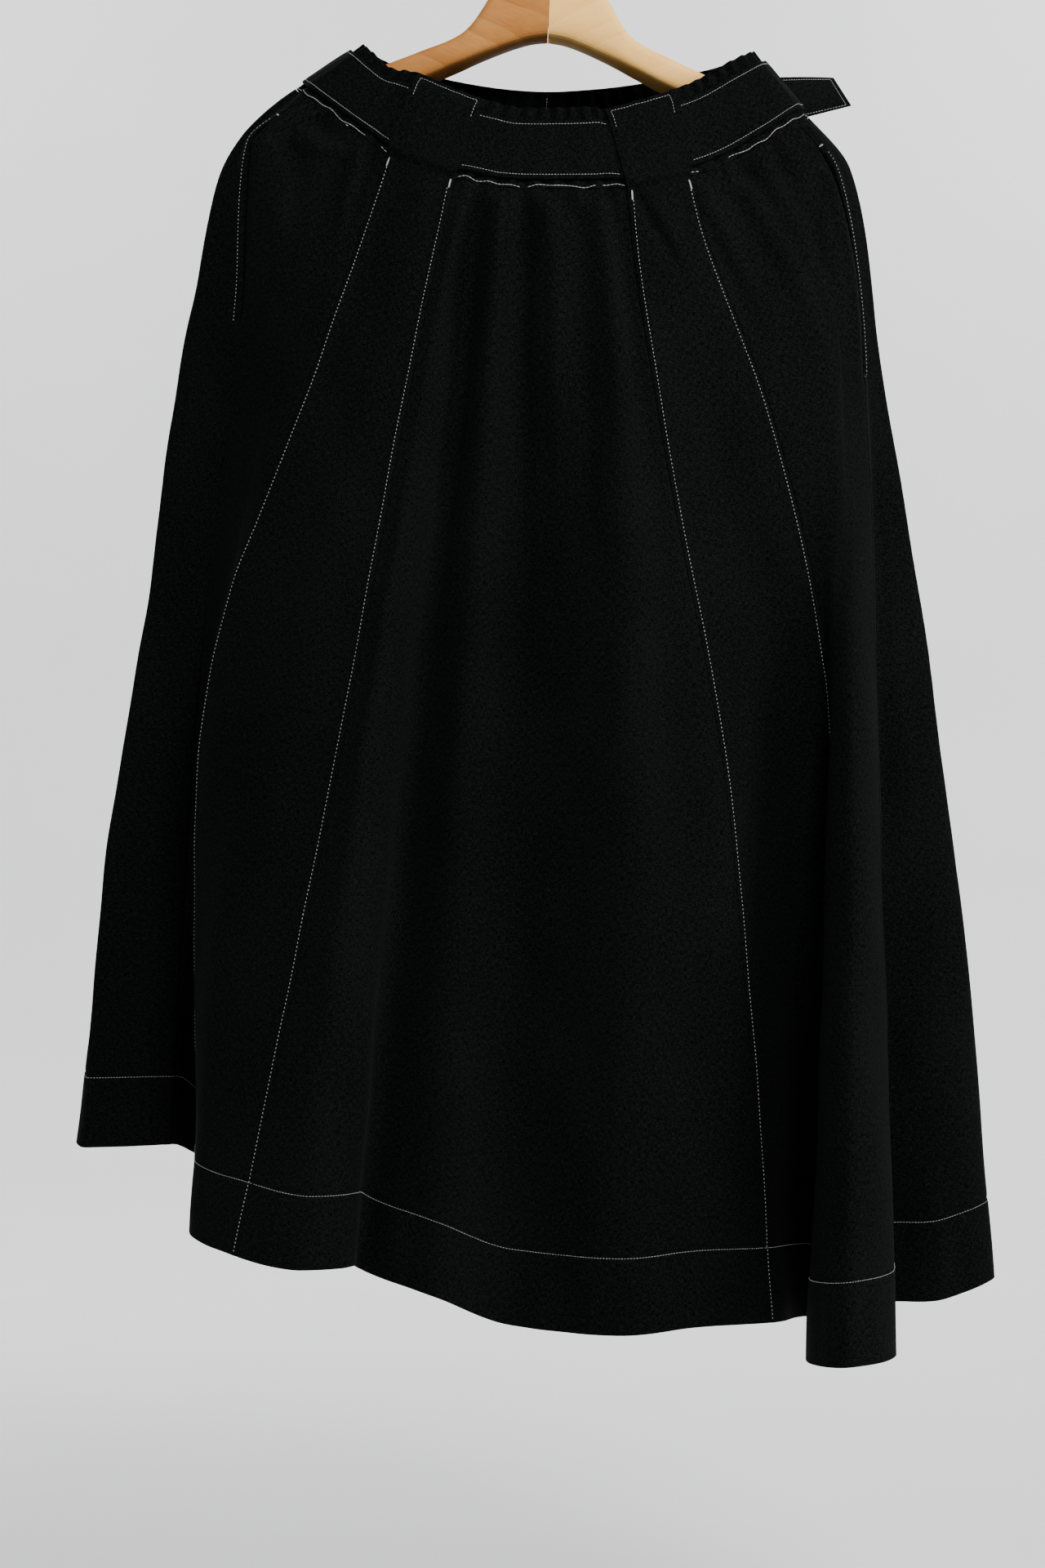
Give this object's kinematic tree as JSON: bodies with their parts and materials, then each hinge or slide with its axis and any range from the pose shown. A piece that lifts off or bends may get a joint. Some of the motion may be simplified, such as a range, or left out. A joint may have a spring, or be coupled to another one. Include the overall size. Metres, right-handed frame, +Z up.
{
  "type": "flared skirt on a wooden hanger",
  "caption": "Black flared midi skirt with gathered waistband, cloth belt under two long front strips and white edge stitching, hanging on a two-tone wooden hanger.",
  "frame": {"origin": "inside top of the hanger's hook, where the rail bears", "axes": "+Z up the hanging skirt, +X to the right-hand side seen from the front, +Y from the front of the skirt to its back"},
  "size_m": [0.6593, 0.3, 1.0422],
  "materials": {
    "centre_front_cloth": "black plain-woven cotton and linen cloth, matt, with white edge stitching",
    "side_front_left_cloth": "black plain-woven cotton and linen cloth, matt, with white edge stitching",
    "side_front_right_cloth": "black plain-woven cotton and linen cloth, matt, with white edge stitching",
    "back_right_cloth": "black plain-woven cotton and linen cloth, matt, with white edge stitching",
    "back_left_cloth": "black plain-woven cotton and linen cloth, matt, with white edge stitching",
    "strip_left_cloth": "black plain-woven cotton and linen cloth, matt, with white edge stitching",
    "strip_right_cloth": "black plain-woven cotton and linen cloth, matt, with white edge stitching",
    "waistband_cloth": "black plain-woven cotton and linen cloth, matt, with white edge stitching",
    "belt_cloth": "black plain-woven cotton and linen cloth, matt, with white edge stitching",
    "pocket_left_cloth": "black plain-woven cotton and linen cloth, matt, with white edge stitching",
    "pocket_right_cloth": "black plain-woven cotton and linen cloth, matt, with white edge stitching",
    "left_wood": "clear satin varnish, warm brown grain",
    "right_wood": "clear satin varnish, pale cream grain",
    "hook_steel": "polished plated wire"
  },
  "bodies": {
    "root": {"centre_front": "centre_front_cloth", "side_front_left": "side_front_left_cloth", "side_front_right": "side_front_right_cloth", "back_right": "back_right_cloth", "back_left": "back_left_cloth", "strip_left": "strip_left_cloth", "strip_right": "strip_right_cloth", "waistband": "waistband_cloth", "belt": "belt_cloth", "pocket_left": "pocket_left_cloth", "pocket_right": "pocket_right_cloth", "hanger_arm_left": "left_wood", "hanger_arm_right": "right_wood", "hanger_hook": "hook_steel"}
  },
  "joints": []
}
